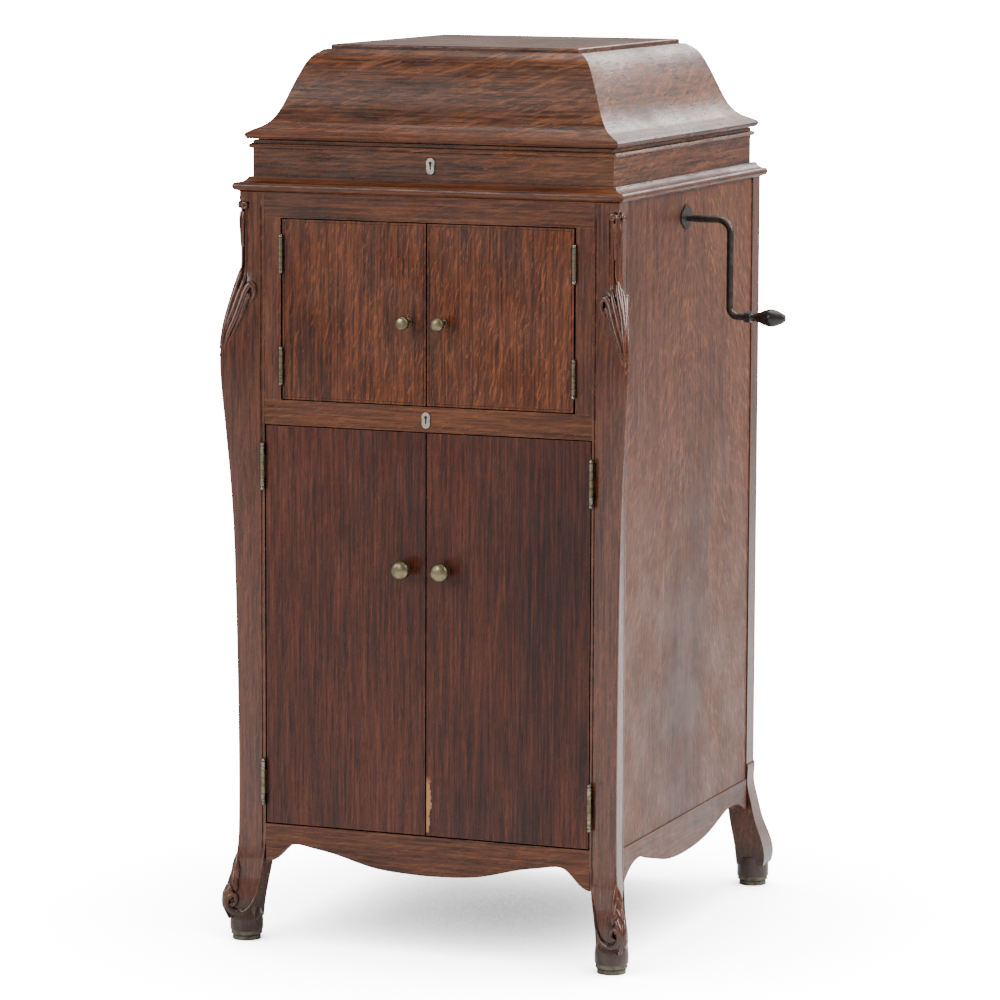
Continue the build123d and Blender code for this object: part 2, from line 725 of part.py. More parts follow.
def sound_box():
    """Round sound box: body, open face ring, needle bar and steel needle."""
    radius, depth = 28.0, 14.0
    needle_top = (3.0, -radius + 4.0)
    needle_tip = (10.0, -46.0)
    with BuildPart() as box:
        with BuildSketch(box_plane):
            Circle(radius)
        extrude(amount=depth)
        with BuildSketch(box_plane.offset(depth)):
            Circle(radius - 5.0)
        extrude(amount=-3.0, mode=Mode.SUBTRACT)
        with BuildSketch(box_plane.offset(depth / 2 - 2.5)):
            with BuildLine():
                Polyline((needle_top[0] - 3.5, needle_top[1]), (needle_top[0] + 3.5, needle_top[1]),
                         (needle_top[0] + 6.0, -36.0), (needle_top[0] - 0.5, -36.0), close=True)
            make_face()
        extrude(amount=5.0)
        needle_plane = Plane(
            origin=box_plane.from_local_coords(Vector(needle_tip[0] - 4.0, -35.0, depth / 2)),
            x_dir=box_plane.z_dir,
            z_dir=box_plane.from_local_coords(Vector(4.0, -11.0, 0.0)) - box_plane.origin,
        )
        with BuildSketch(needle_plane):
            Circle(0.9)
        extrude(amount=11.7, taper=3.0)
    return box


# ---- spring motor -------------------------------------------------------------------------------
def motor_frame():
    """Bedplate with spacers, two cheek plates and the spindle's footstep bearing."""
    plate_bottom, plate_top = 1008.0, 1014.0
    cheeks = ((-80.0, -74.0), (66.0, 72.0))
    front_y, back_y = -118.0, 84.0
    with BuildPart() as frame:
        box_between((-100.0, 115.0), (front_y, back_y), (plate_bottom, plate_top))
        for x in (-90.0, 105.0):
            for y in (front_y + 10.0, back_y - 10.0):
                shaft_along_z(6.0, (plate_top, motor_board_z), x, y)
        for x_range in cheeks:
            with BuildSketch(Plane.YZ.offset(x_range[0])):
                with BuildLine():
                    Polyline((front_y, plate_bottom), (front_y, 948.0), (-60.0, 944.0), (10.0, 934.0),
                             (50.0, 934.0), (back_y, 960.0), (back_y, plate_bottom), close=True)
                make_face()
            extrude(amount=x_range[1] - x_range[0])
            shaft_along_x(arbor_radius + running_gap, x_range, barrel_y, crank_z, mode=Mode.SUBTRACT)
            shaft_along_x(2.5 + running_gap, x_range, governor_y, governor_z, mode=Mode.SUBTRACT)
        shaft_along_x(arbor_radius + running_gap, cheeks[1], crank_y, crank_z, mode=Mode.SUBTRACT)
        box_between((cheeks[0][1], cheeks[1][0]), (-68.0, -52.0), (948.0, 958.0))
        shaft_along_z(spindle_radius + running_gap, (954.5, 960.0), spindle_x, spindle_y, mode=Mode.SUBTRACT)
        shaft_along_z(spindle_radius + running_gap, (plate_bottom, plate_top), spindle_x, spindle_y,
                      mode=Mode.SUBTRACT)
    return frame


def spring_barrel():
    """Pair of mainspring drums on their arbor."""
    with BuildPart() as drum:
        shaft_along_x(38.0, (-60.0, -2.0), barrel_y, crank_z)
        shaft_along_x(34.0, (-2.0, 2.0), barrel_y, crank_z)
        shaft_along_x(38.0, (2.0, 60.0), barrel_y, crank_z)
        shaft_along_x(arbor_radius, (-82.0, 92.0), barrel_y, crank_z)
    return drum


def governor():
    """Governor shaft with collars, three weights and the friction disc."""
    weight_circle, weight_radius = 14.0, 6.5
    with BuildPart() as rotor:
        shaft_along_x(2.5, (-82.0, 74.0), governor_y, governor_z)
        shaft_along_x(7.0, (-36.0, -28.0), governor_y, governor_z)
        shaft_along_x(7.0, (6.0, 14.0), governor_y, governor_z)
        shaft_along_x(14.0, (14.0, 18.0), governor_y, governor_z)
        for turn in (90.0, 210.0, 330.0):
            y = governor_y + weight_circle * cos(radians(turn))
            z = governor_z + weight_circle * sin(radians(turn))
            shaft_along_x(1.2, (-30.0, 8.0), governor_y + 5.5 * cos(radians(turn)),
                          governor_z + 5.5 * sin(radians(turn)))
            with Locations((-11.0, y, z)):
                Sphere(weight_radius)
            middle = (0.5 * (y + governor_y), 0.5 * (z + governor_z))
            with BuildSketch(Plane.YZ.offset(-12.5)):
                with Locations(Location((*middle, 0), (0, 0, turn))):
                    Rectangle(weight_circle, 4.0)
            extrude(amount=3.0)
    return rotor


def winding_gear():
    """Large gear on the drums' arbor that the crank's pinion turns."""
    x_range = (76.0, 84.0)
    with BuildPart() as gear:
        shaft_along_x(winding_gear_radius, x_range, barrel_y, crank_z)
        shaft_along_x(12.0, (84.0, 88.0), barrel_y, crank_z)
        shaft_along_x(arbor_radius + running_gap, (76.0, 88.0), barrel_y, crank_z, mode=Mode.SUBTRACT)
    return gear


def winding_arbor():
    """Arbor and pinion that carry the crank's turn to the winding gear."""
    with BuildPart() as arbor:
        shaft_along_x(arbor_radius, (62.0, 228.0), crank_y, crank_z)
        shaft_along_x(winding_pinion_radius, (76.0, 84.0), crank_y, crank_z)
        shaft_along_x(8.0, (205.0, 228.0), crank_y, crank_z)
    return arbor


# ---- crank ----------------------------------------------------------------------------------------
rod_radius = 4.6
spigot_radius = 3.7
crank_arm_x = 325.0
grip_start = 346.0
grip_end = 402.0
stud_radius = 3.0


def crank_rod():
    """Bent steel rod: spigot into the motor, shaft, arm and the stud for the grip."""
    upper_bend, lower_bend = 18.0, 12.0
    shaft_start = 273.0
    grip_z = crank_z - crank_radius
    plane = Plane.XZ.offset(-crank_y)
    with BuildPart() as rod:
        with BuildLine(plane) as path:
            Line((shaft_start, crank_z), (crank_arm_x - upper_bend, crank_z))
            RadiusArc((crank_arm_x - upper_bend, crank_z), (crank_arm_x, crank_z - upper_bend), upper_bend)
            Line((crank_arm_x, crank_z - upper_bend), (crank_arm_x, grip_z + lower_bend))
            RadiusArc((crank_arm_x, grip_z + lower_bend), (crank_arm_x + lower_bend, grip_z), -lower_bend)
            Line((crank_arm_x + lower_bend, grip_z), (grip_start - 0.4, grip_z))
        with BuildSketch(Plane.YZ.offset(shaft_start)):
            with Locations((crank_y, crank_z)):
                Circle(rod_radius)
        sweep(path=path.wires()[0])
        shaft_along_x(spigot_radius, (228.0, shaft_start), crank_y, crank_z)
        shaft_along_x(stud_radius, (grip_start - 0.4, grip_end - 8.0), crank_y, grip_z)
    return rod


def crank_grip():
    """Turned wooden grip with its metal ferrule, free to spin on the stud."""
    z = crank_z - crank_radius
    with BuildPart() as grip:
        with BuildSketch(Plane.XZ.offset(-crank_y)):
            with BuildLine():
                Polyline((grip_start, z), (grip_start, z + 6.3), (grip_start + 1.2, z + 7.5),
                         (grip_start + 8.6, z + 7.5), (grip_start + 9.6, z + 5.4))
                Spline((grip_start + 9.6, z + 5.4), (grip_start + 13.0, z + 5.0),
                       (grip_start + 26.0, z + 9.2), (grip_start + 37.0, z + 11.75),
                       (grip_start + 50.0, z + 8.0), (grip_end, z + 4.5))
                Polyline((grip_end, z + 4.5), (grip_end, z), (grip_start, z))
            make_face()
        revolve(axis=Axis((grip_start, crank_y, z), (1, 0, 0)))
        shaft_along_x(stud_radius + running_gap, (grip_start, grip_end - 7.0), crank_y, z, mode=Mode.SUBTRACT)
    return grip


def crank_escutcheon():
    """Lobed plate on the side panel with the bush that the crank turns in."""
    plate_z = crank_z + 2.0
    lobe_reach, lobe_radius = 13.5, 9.5
    thickness = 2.0
    with BuildPart() as plate:
        with BuildSketch(Plane.YZ.offset(panel_face)):
            with Locations((crank_y, plate_z)):
                Ellipse(17.5, 16.5)
            for sign in (-1, 1):
                with Locations((crank_y + sign * lobe_reach, plate_z)):
                    Circle(lobe_radius)
        extrude(amount=thickness)
        shaft_along_x(9.0, (board_half_width, panel_face), crank_y, crank_z)
        shaft_along_x(spigot_radius + running_gap, (board_half_width, panel_face + thickness),
                      crank_y, crank_z, mode=Mode.SUBTRACT)
        for sign in (-1, 1):
            shaft_along_x(1.6, (panel_face, panel_face + thickness), crank_y + sign * 17.0, plate_z,
                          mode=Mode.SUBTRACT)
    return plate


# ---- fittings on the motor board --------------------------------------------------------------------
dial_x, dial_y = -165.0, -205.0
brake_x, brake_y = 156.0, -136.0
lever_pin_radius = 2.5


def board_fittings():
    """Speed dial with its pin, the brake's pin and the guide that the lid's stay runs in."""
    rim_inner = rim_half_width - rim_wall
    with BuildPart() as fittings:
        shaft_along_z(22.0, (motor_board_top, motor_board_top + 1.5), dial_x, dial_y)
        shaft_along_z(lever_pin_radius, (motor_board_top, motor_board_top + 7.0), dial_x, dial_y)
        shaft_along_z(9.0, (motor_board_top, motor_board_top + 2.0), brake_x, brake_y)
        shaft_along_z(lever_pin_radius, (motor_board_top, motor_board_top + 9.0), brake_x, brake_y)
        box_between((218.0, rim_inner), (156.0, 177.0), (1052.0, 1060.0))
        box_between((220.5, 223.5), (159.5, 171.5), (1052.0, 1060.0), mode=Mode.SUBTRACT)
    return fittings


def speed_pointer():
    """Pointer lever of the speed regulator."""
    z_range = (motor_board_top + 2.0, motor_board_top + 5.0)
    with BuildPart() as pointer:
        shaft_along_z(6.0, (z_range[0], z_range[1] + 1.0), dial_x, dial_y)
        with BuildSketch(Plane.XY.offset(z_range[0])):
            with BuildLine():
                Polyline((dial_x - 4.0, dial_y), (dial_x + 4.0, dial_y), (dial_x + 1.5, dial_y + 28.0),
                         (dial_x - 1.5, dial_y + 28.0), close=True)
            make_face()
        extrude(amount=z_range[1] - z_range[0])
        shaft_along_z(lever_pin_radius + running_gap, (z_range[0], z_range[1] + 1.0), dial_x, dial_y,
                      mode=Mode.SUBTRACT)
    return pointer


def brake_lever():
    """Brake lever: a felted shoe beside the platter's rim and a finger tab."""
    shoe_angle, shoe_distance = -36.0, 155.2
    toward = (cos(radians(shoe_angle)), sin(radians(shoe_angle)))
    shoe = (spindle_x + shoe_distance * toward[0], spindle_y + shoe_distance * toward[1])
    tab = (brake_x + 27.0, brake_y + 32.0)
    z_range = (motor_board_top + 2.5, motor_board_top + 6.5)
    with BuildPart() as lever:
        shaft_along_z(7.0, z_range, brake_x, brake_y)
        for end, width in ((shoe, 6.0), (tab, 5.0)):
            run = (Vector(*end) - Vector(brake_x, brake_y))
            middle = (0.5 * (end[0] + brake_x), 0.5 * (end[1] + brake_y))
            turn = Vector(1, 0, 0).get_signed_angle(run, Vector(0, 0, 1))
            with BuildSketch(Plane.XY.offset(z_range[0])):
                with Locations(Location((*middle, 0), (0, 0, turn))):
                    Rectangle(run.length, width)
            extrude(amount=z_range[1] - z_range[0])
        shaft_along_z(6.0, (z_range[0], z_range[1] + 5.0), *tab)
        with BuildSketch(Plane.XY.offset(z_range[0])):
            with Locations(Location((*shoe, 0), (0, 0, shoe_angle))):
                Rectangle(9.0, 16.0)
        extrude(amount=10.0)
        shaft_along_z(lever_pin_radius + running_gap, z_range, brake_x, brake_y, mode=Mode.SUBTRACT)
    return lever


def needle_cups():
    """Two cups for loose needles, sunk in the right-hand front corner."""
    with BuildPart() as cups:
        for y in (-234.0, -190.0):
            shaft_along_z(20.0, (motor_board_top, motor_board_top + 12.0), 208.0, y)
            shaft_along_z(17.5, (motor_board_top + 2.0, motor_board_top + 12.0), 208.0, y, mode=Mode.SUBTRACT)
    return cups


# ---- write every sub-part ---------------------------------------------------------------------------
right_front_post = front_post()
right_rear_post = rear_post()
save(right_front_post, "front_post_right")
save(mirrored(right_front_post), "front_post_left")
save(right_rear_post, "rear_post_right")
save(mirrored(right_rear_post), "rear_post_left")
save(foot_glides(), "foot_glides")

save(side_panel(), "side_panel_right")
save(plain_side_panel(), "side_panel_left")
save(side_rails(), "side_rails")
save(front_apron(), "front_apron")
save(board((-rear_post_x, rear_post_x), (265.0, rear_face), (110.0, case_bottom)), "back_rail")
save(board((-rear_post_x, rear_post_x), (271.0, 279.0), (case_bottom, case_top)), "back_panel")

rail_depth = (front_face, front_face + rail_thickness)
save(board((-front_post_x, front_post_x), rail_depth, (top_rail_z, case_top)), "top_rail")
save(board((-front_post_x, front_post_x), rail_depth, mid_rail_z), "middle_rail")
save(stiles(rail_depth), "stiles")

board_front = front_face + rail_thickness
save(notched_board(board_half_width, board_front, 265.0, (case_bottom - board_thickness, case_bottom)),
     "bottom_board")
save(notched_board(board_half_width, board_front, 271.0, (horn_floor_z, horn_floor_z + board_thickness)),
     "horn_floor")
save(record_rack(), "record_rack")
save(cornice(), "cornice")
save(case_rim(), "case_rim")
save(board_cleats(), "board_cleats")
save(motor_board(), "motor_board")

save(horn(), "horn")
save(horn_elbow(), "horn_elbow")
save(louvres(), "louvres")

upper_leaf = door(upper_door_edge, upper_door_z, beaded=True)
lower_leaf = door(lower_door_edge, lower_door_z, beaded=False)
save(upper_leaf, "upper_door_right")
save(mirrored(upper_leaf), "upper_door_left")
save(lower_leaf, "lower_door_right")
save(mirrored(lower_leaf), "lower_door_left")
upper_brasses = door_brasses(upper_hinge_axis, upper_door_edge, 1.2, upper_hinge_heights,
                             upper_hinge_length, (24.6, 840.0, 9.25, 22.5))
lower_brasses = door_brasses(lower_hinge_axis, lower_door_edge, 0.6, lower_hinge_heights,
                             lower_hinge_length, (27.7, 516.0, 13.0, 20.0))
save(upper_brasses, "upper_brasses_right")
save(mirrored(upper_brasses), "upper_brasses_left")
save(lower_brasses, "lower_brasses_right")
save(mirrored(lower_brasses), "lower_brasses_left")
save(door_hinges(), "door_hinges")
save(keyhole_escutcheons(), "keyhole_escutcheons")

save(lid_frame(), "lid_frame")
save(lid_dome(), "lid_dome")
save(lid_top(), "lid_top")
save(lid_hinges(fixed=True), "lid_hinge_leaves_case")
save(lid_hinges(fixed=False), "lid_hinge_leaves_lid")
save(lid_stay(), "lid_stay")

save(turntable_platter(), "turntable_platter")
save(turntable_felt(), "turntable_felt")
save(spindle(), "spindle")
save(tone_arm_bracket(), "tone_arm_bracket")
save(tone_arm(), "tone_arm")
save(gooseneck(), "gooseneck")
save(sound_box(), "sound_box")

save(motor_frame(), "motor_frame")
save(spring_barrel(), "spring_barrel")
save(governor(), "governor")
save(winding_gear(), "winding_gear")
save(winding_arbor(), "winding_arbor")

save(crank_rod(), "crank_rod")
save(crank_grip(), "crank_grip")
save(crank_escutcheon(), "crank_escutcheon")

save(board_fittings(), "board_fittings")
save(speed_pointer(), "speed_pointer")
save(brake_lever(), "brake_lever")
save(needle_cups(), "needle_cups")
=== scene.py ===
import bpy
import json
from math import cos, pi, radians, sin
from mathutils import Matrix, Vector


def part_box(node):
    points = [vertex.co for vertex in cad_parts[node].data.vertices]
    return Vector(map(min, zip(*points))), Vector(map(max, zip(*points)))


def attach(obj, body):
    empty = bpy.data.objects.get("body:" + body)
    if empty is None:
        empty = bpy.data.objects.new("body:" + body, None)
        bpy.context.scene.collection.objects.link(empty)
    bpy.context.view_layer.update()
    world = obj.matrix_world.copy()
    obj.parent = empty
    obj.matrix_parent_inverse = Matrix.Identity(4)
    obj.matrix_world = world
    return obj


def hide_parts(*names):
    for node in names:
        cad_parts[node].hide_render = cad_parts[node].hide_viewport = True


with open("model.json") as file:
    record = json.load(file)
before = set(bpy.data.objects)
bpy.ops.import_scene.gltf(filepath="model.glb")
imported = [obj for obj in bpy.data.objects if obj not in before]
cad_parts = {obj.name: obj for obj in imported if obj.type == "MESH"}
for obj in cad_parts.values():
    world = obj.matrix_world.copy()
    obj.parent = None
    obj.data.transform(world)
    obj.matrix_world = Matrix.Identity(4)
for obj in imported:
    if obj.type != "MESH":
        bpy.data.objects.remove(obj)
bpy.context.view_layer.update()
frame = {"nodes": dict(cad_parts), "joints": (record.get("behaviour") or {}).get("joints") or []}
MM = 0.001      # posts and hinge rings are worked out in millimetres, everything else in metres


# ---- node helpers -----------------------------------------------------------------------------
class Graph:
    """A material's node tree with short calls for the nodes used here."""

    def __init__(self, name):
        self.material = bpy.data.materials.new(name)
        self.material.use_nodes = True
        self.tree = self.material.node_tree
        self.shader = self.tree.nodes["Principled BSDF"]

    def node(self, kind, **settings):
        made = self.tree.nodes.new(kind)
        for key, value in settings.items():
            setattr(made, key, value)
        return made

    def put(self, socket, value):
        if isinstance(value, bpy.types.NodeSocket):
            self.tree.links.new(value, socket)
        else:
            socket.default_value = value

    def coords(self):
        return self.node("ShaderNodeTexCoord").outputs["Object"]

    def mitred_coords(self):
        """Object coordinates with X and Y exchanged on faces that look sideways, as mitred wood lies."""
        made = self.node("ShaderNodeTexCoord")
        x, y, z = self.split(made.outputs["Object"])
        normal_x, normal_y, _ = self.split(made.outputs["Normal"])
        lean = self.math("SUBTRACT", self.math("ABSOLUTE", normal_x), self.math("ABSOLUTE", normal_y))
        sideways = self.math("GREATER_THAN", lean, 0.05)
        shift = self.math("MULTIPLY", sideways, self.math("SUBTRACT", y, x))
        return self.join(self.math("ADD", x, shift), self.math("SUBTRACT", y, shift), z)

    def math(self, operation, first, second=0.0):
        made = self.node("ShaderNodeMath", operation=operation)
        for socket, value in zip(made.inputs, (first, second)):
            self.put(socket, value)
        return made.outputs[0]

    def times(self, first, second):
        return self.math("MULTIPLY", first, second)

    def split(self, vector):
        made = self.node("ShaderNodeSeparateXYZ")
        self.put(made.inputs[0], vector)
        return made.outputs[0], made.outputs[1], made.outputs[2]

    def join(self, x, y, z):
        made = self.node("ShaderNodeCombineXYZ")
        for socket, value in zip(made.inputs, (x, y, z)):
            self.put(socket, value)
        return made.outputs[0]

    def noise(self, vector, scale, detail=4.0, rough=0.55, distort=0.0):
        made = self.node("ShaderNodeTexNoise")
        self.put(made.inputs["Vector"], vector)
        made.inputs["Scale"].default_value = scale
        made.inputs["Detail"].default_value = detail
        made.inputs["Roughness"].default_value = rough
        made.inputs["Distortion"].default_value = distort
        return made.outputs["Fac"]

    def ramp(self, value, low, high, out_low=0.0, out_high=1.0):
        made = self.node("ShaderNodeMapRange", interpolation_type="SMOOTHSTEP")
        for socket, number in zip(made.inputs, (value, low, high, out_low, out_high)):
            self.put(socket, number)
        return made.outputs[0]

    def stretch(self, vector, scale, offset):
        made = self.node("ShaderNodeMapping")
        self.put(made.inputs["Vector"], vector)
        made.inputs["Location"].default_value = offset
        made.inputs["Scale"].default_value = scale
        return made.outputs[0]

    def mix(self, factor, first, second):
        made = self.node("ShaderNodeMix", data_type="RGBA")
        self.put(made.inputs[0], factor)
        self.put(made.inputs[6], first)
        self.put(made.inputs[7], second)
        return made.outputs[2]

    def edges(self, radius):
        """0 on flat faces, rising to about 0.3 along sharp edges, for wear."""
        bevel = self.node("ShaderNodeBevel", samples=4)
        bevel.inputs["Radius"].default_value = radius
        geometry = self.node("ShaderNodeNewGeometry")
        dot = self.node("ShaderNodeVectorMath", operation="DOT_PRODUCT")
        self.put(dot.inputs[0], bevel.outputs["Normal"])
        self.put(dot.inputs[1], geometry.outputs["Normal"])
        return self.math("SUBTRACT", 1.0, dot.outputs["Value"])

    def crevices(self, distance):
        """1 in the open, falling in corners and grooves."""
        occlusion = self.node("ShaderNodeAmbientOcclusion", samples=6)
        occlusion.inputs["Distance"].default_value = distance
        return occlusion.outputs["AO"]

    def bump(self, height, strength, distance):
        made = self.node("ShaderNodeBump")
        made.inputs["Strength"].default_value = strength
        made.inputs["Distance"].default_value = distance
        self.put(made.inputs["Height"], height)
        self.put(self.shader.inputs["Normal"], made.outputs[0])


def rgb(red, green, blue):
    return (red, green, blue, 1.0)


# ---- materials ----------------------------------------------------------------------------------
FLAKE_LENGTHWAYS, FLAKE_CROSSWAYS = 45.0, 330.0     # noise cells per metre along and across a flake
FLOOR_SHADE_TOP, FLOOR_SHADE_BOTTOM = 0.075, 0.035              # painted shade on the feet fades out between these heights
CHIP_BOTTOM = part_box("lower_door_right")[0][2] + 0.0025     # broken veneer, just above the door's edge
CHIP_HEIGHT = 0.064


def ray_flakes(graph, side, along, tilt, size, seed):
    """Noise drawn out into short strokes, tilted from the grain."""
    stroke = graph.math("ADD", graph.times(side, sin(tilt)), graph.times(along, cos(tilt)))
    step = graph.math("SUBTRACT", graph.times(side, cos(tilt)), graph.times(along, sin(tilt)))
    place = graph.join(graph.times(stroke, FLAKE_LENGTHWAYS / size),
                       graph.times(step, FLAKE_CROSSWAYS / size), seed)
    return graph.noise(place, 1.0, 2.0, 0.5, 1.2)


def broken_veneer(graph, where, color, fine):
    """Raw wood in a ragged strip up the door's inner edge, where x is near 0."""
    x, _, z = graph.split(where)
    ragged = graph.math("ADD", x, graph.times(graph.noise(where, 90.0, 3.0), -0.012))
    low_end = graph.ramp(z, CHIP_BOTTOM, CHIP_BOTTOM + 0.004)
    high_end = graph.ramp(z, CHIP_BOTTOM + CHIP_HEIGHT, CHIP_BOTTOM + CHIP_HEIGHT + 0.016, 1.0, 0.0)
    missing = graph.times(graph.ramp(ragged, -0.0005, 0.0005, 1.0, 0.0), graph.times(low_end, high_end))
    raw = graph.mix(fine, rgb(0.26, 0.10, 0.035), rgb(0.5, 0.23, 0.09))
    return graph.mix(missing, color, raw)


def oak(name, grain, dark, mid, light, flake=0.5, flake_tilt=20.0, flake_centre=None, flake_size=1.0,
        shine=1.7, wear=0.6, rough=0.3, seed=0.0, coat=0.0, mitred=False, chips=False):
    """Stained quarter-sawn oak: streaks and pores along the grain, ray flakes, worn edges, and painted
    shade in the corners and near the floor.

    With flake_centre, a y coordinate, the flakes are mirrored about it. A mitred piece's grain runs
    along each of its sides, and chips adds the broken veneer.
    """
    graph = Graph(name)
    where = graph.mitred_coords() if mitred else graph.coords()
    x, y, z = graph.split(where)
    along = {"X": x, "Y": y, "Z": z}[grain]
    scale = {"X": (0.03, 1, 1), "Y": (1, 0.03, 1), "Z": (1, 1, 0.03)}[grain]
    offset = (seed, 0.7 * seed, 1.3 * seed)
    lines = graph.stretch(where, scale, offset)
    broad = graph.noise(graph.stretch(where, tuple(max(s, 0.3) for s in scale), offset), 6.0, 3.0)
    streaks = graph.noise(lines, 300.0, 5.0, 0.72, 0.3)
    fine = graph.noise(lines, 1100.0, 3.0, 0.6)
    pores = graph.ramp(graph.noise(lines, 1500.0, 2.0, 0.5), 0.57, 0.66)

    if flake_centre is not None:
        side = graph.math("ABSOLUTE", graph.math("SUBTRACT", y, flake_centre))
    elif grain == "Z":
        side = graph.math("ADD", x, y)
    else:
        side = z
    figure = ray_flakes(graph, side, along, radians(flake_tilt), flake_size, seed)
    flakes = graph.times(graph.ramp(figure, 0.55, 0.66), graph.ramp(broad, 0.35, 0.6, 0.3, 1.0))
    between = graph.ramp(figure, 0.36, 0.46, 0.6 * flake, 0.0)

    # stain: dark to light with the streaks, then the flakes and the pores
    tone = graph.math("ADD", graph.times(streaks, 0.72), graph.times(broad, 0.28))
    color = graph.mix(graph.ramp(tone, 0.38, 0.52), rgb(*dark), rgb(*mid))
    color = graph.mix(graph.ramp(tone, 0.48, 0.66, 0.0, 0.9), color, rgb(*light))
    color = graph.mix(between, color, rgb(*dark))
    # flakes: lighter wood, brightened further by shine as a painted sheen
    color = graph.mix(graph.times(flakes, flake), color, rgb(*[shine * c + 0.006 for c in light]))
    color = graph.mix(graph.times(pores, 0.7), color, rgb(*[0.35 * c for c in dark]))

    # painted shade in the corners and near the floor; age: rubbed edges, broken veneer
    # painted shade: ambient occlusion darkens the wood in corners and grooves
    painted_corner_shade = graph.ramp(graph.crevices(0.010), 0.2, 0.85, 0.85, 0.0)
    color = graph.mix(painted_corner_shade, color, rgb(0.004, 0.002, 0.001))
    # painted shade: the wood darkens towards the floor
    painted_floor_shade = graph.times(graph.ramp(z, FLOOR_SHADE_BOTTOM, FLOOR_SHADE_TOP, 0.75, 0.0),
                        graph.ramp(broad, 0.3, 0.6, 0.7, 1.0))
    color = graph.mix(painted_floor_shade, color, rgb(0.018, 0.010, 0.006))
    rub = graph.noise(where, 55.0, 5.0, 0.7)
    worn = graph.times(graph.ramp(graph.edges(0.0016), 0.015, 0.11),
                       graph.ramp(rub, 0.45, 0.64, 0.06, wear))
    color = graph.mix(worn, color, rgb(0.24, 0.085, 0.03))
    if chips:
        color = broken_veneer(graph, where, color, fine)
    graph.put(graph.shader.inputs["Base Color"], color)

    haze = graph.ramp(graph.noise(where, 14.0, 4.0, 0.6), 0.3, 0.7, rough - 0.05, rough + 0.1)
    graph.put(graph.shader.inputs["Roughness"], graph.math("ADD", haze, graph.times(pores, 0.15)))
    graph.shader.inputs["Specular IOR Level"].default_value = 0.32
    graph.shader.inputs["Coat Weight"].default_value = coat
    graph.shader.inputs["Coat Roughness"].default_value = 0.16
    relief = graph.math("ADD", graph.times(fine, 0.5), graph.times(pores, -0.8))
    graph.bump(relief, 0.3, 0.0004)
    return graph.material


def metal(name, base, stain, rough, stain_amount, metallic=1.0):
    """Old metal: base colour, patches of tarnish, painted shade in the corners, bright rubbed edges."""
    graph = Graph(name)
    where = graph.coords()
    patches = graph.ramp(graph.noise(where, 120.0, 6.0, 0.65), 0.4, 0.65)
    color = graph.mix(graph.times(patches, stain_amount), rgb(*base), rgb(*stain))
    # painted shade: ambient occlusion darkens the corners
    painted_corner_shade = graph.ramp(graph.crevices(0.004), 0.3, 0.9, 0.6, 0.0)
    color = graph.mix(painted_corner_shade, color, rgb(0.02, 0.016, 0.01))
    rubbed = graph.ramp(graph.edges(0.0008), 0.02, 0.15, 0.0, 0.5)
    color = graph.mix(rubbed, color, rgb(*[min(1.0, 1.6 * c) for c in base]))
    graph.put(graph.shader.inputs["Base Color"], color)
    graph.shader.inputs["Metallic"].default_value = metallic
    speckle = graph.noise(where, 900.0, 3.0, 0.6)
    dulled = graph.math("ADD", graph.times(patches, 0.6), graph.times(speckle, 0.4))
    graph.put(graph.shader.inputs["Roughness"], graph.ramp(dulled, 0.2, 0.8, rough, rough + 0.22))
    graph.bump(speckle, 0.15, 0.0002)
    return graph.material


def felt():
    """Short-napped green felt, a little faded in patches."""
    graph = Graph("felt")
    where = graph.coords()
    nap = graph.noise(where, 1800.0, 4.0, 0.7)
    patches = graph.noise(where, 25.0, 4.0, 0.6)
    color = graph.mix(graph.ramp(nap, 0.3, 0.7), rgb(0.02, 0.05, 0.025), rgb(0.06, 0.13, 0.06))
    color = graph.mix(graph.ramp(patches, 0.4, 0.8, 0.0, 0.4), color, rgb(0.1, 0.12, 0.06))
    graph.put(graph.shader.inputs["Base Color"], color)
    graph.shader.inputs["Roughness"].default_value = 0.95
    graph.shader.inputs["Sheen Weight"].default_value = 0.12
    graph.bump(nap, 0.6, 0.0006)
    return graph.material


# stains, as the dark, middle and light tone of the streaks
MAROON = dict(dark=(0.016, 0.0030, 0.0016), mid=(0.054, 0.0105, 0.0050), light=(0.120, 0.030, 0.012))
BROWN = dict(dark=(0.020, 0.0042, 0.0016), mid=(0.080, 0.0185, 0.0055), light=(0.190, 0.052, 0.014))
GREYED = dict(dark=(0.026, 0.0070, 0.0034), mid=(0.078, 0.0235, 0.0105), light=(0.160, 0.056, 0.024))
WORN = dict(dark=(0.018, 0.0042, 0.0018), mid=(0.078, 0.0210, 0.0072), light=(0.170, 0.055, 0.017))
POLISHED = dict(dark=(0.024, 0.0058, 0.0026), mid=(0.076, 0.0200, 0.0085), light=(0.150, 0.046, 0.019))
UMBER = dict(dark=(0.018, 0.0052, 0.0022), mid=(0.088, 0.0270, 0.0100), light=(0.190, 0.064, 0.022))

panel_low, panel_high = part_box("side_panel_right")
side_middle = 0.5 * (panel_low[1] + panel_high[1])

